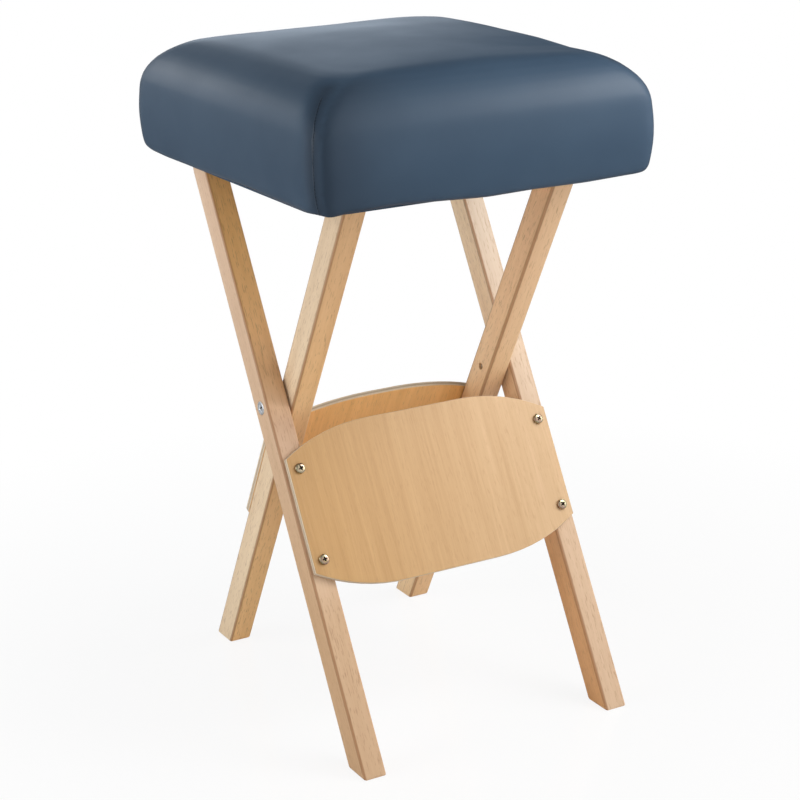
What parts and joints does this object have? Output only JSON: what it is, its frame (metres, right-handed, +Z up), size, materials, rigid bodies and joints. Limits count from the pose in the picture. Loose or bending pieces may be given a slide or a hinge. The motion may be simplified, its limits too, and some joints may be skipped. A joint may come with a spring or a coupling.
{
  "type": "folding stool",
  "caption": "Folding stool: thick square vinyl cushion on crossed wooden leg frames braced by arched plywood panels; the seat hinges up as the scissor legs close.",
  "frame": {"origin": "on the floor under the middle of the stool's outline", "axes": "+Z up, +X to the right seen from the front panel, +Y to the back"},
  "size_m": [0.3386, 0.3657, 0.6249],
  "materials": {
    "beech": "satin",
    "veneer": "satin",
    "pine": "matte",
    "plywood": "matte",
    "vinyl": "satin",
    "foam": "matte",
    "dust_cloth": "matte",
    "bright_zinc": "satin",
    "yellow_zinc": "satin",
    "brass": "satin",
    "nylon": "satin"
  },
  "bodies": {
    "inner_frame": {"inner_leg_left": "beech", "inner_leg_right": "beech", "back_panel": "veneer", "back_panel_screw_upper_left": "yellow_zinc", "back_panel_screw_lower_left": "yellow_zinc", "back_panel_screw_upper_right": "yellow_zinc", "back_panel_screw_lower_right": "yellow_zinc", "pivot_bolt_left": "bright_zinc", "pivot_bolt_right": "bright_zinc", "pivot_washer_left": "nylon", "pivot_washer_right": "nylon", "pivot_insert_left": "brass", "pivot_insert_right": "brass", "hinge_bolt_left": "bright_zinc", "hinge_bolt_right": "bright_zinc", "hinge_washer_left": "nylon", "hinge_washer_right": "nylon", "hinge_nut_left": "bright_zinc", "hinge_nut_right": "bright_zinc"},
    "outer_frame": {"outer_leg_left": "beech", "outer_leg_right": "beech", "front_panel": "veneer", "front_panel_screw_upper_left": "yellow_zinc", "front_panel_screw_lower_left": "yellow_zinc", "front_panel_screw_upper_right": "yellow_zinc", "front_panel_screw_lower_right": "yellow_zinc", "catch_rod": "bright_zinc"},
    "seat": {"seat_cover": "vinyl", "foam_pad": "foam", "seat_board": "plywood", "seat_spacer": "plywood", "dust_cover": "dust_cloth", "staple_front_1": "bright_zinc", "staple_front_2": "bright_zinc", "staple_front_3": "bright_zinc", "staple_back_1": "bright_zinc", "staple_back_2": "bright_zinc", "staple_back_3": "bright_zinc", "staple_left_1": "bright_zinc", "staple_left_2": "bright_zinc", "staple_left_3": "bright_zinc", "staple_right_1": "bright_zinc", "staple_right_2": "bright_zinc", "staple_right_3": "bright_zinc", "batten_left": "pine", "batten_right": "pine", "batten_screw_left_1": "yellow_zinc", "batten_screw_left_2": "yellow_zinc", "batten_screw_left_3": "yellow_zinc", "batten_screw_right_1": "yellow_zinc", "batten_screw_right_2": "yellow_zinc", "batten_screw_right_3": "yellow_zinc"}
  },
  "joints": [
    {"name": "seat_hinge", "type": "hinge", "parent": "inner_frame", "child": "seat", "pos_m": [0, -0.11743, 0.502], "axis": [1, 0, 0], "range_deg": [0, 102]},
    {"name": "leg_pivot", "type": "hinge", "parent": "inner_frame", "child": "outer_frame", "pos_m": [0, -0.00259, 0.296], "axis": [1, 0, 0], "range_deg": [0, 53]}
  ],
  "couplings": [
    {"joint": "leg_pivot", "follows": "seat_hinge", "ratio": 0.5196}
  ]
}
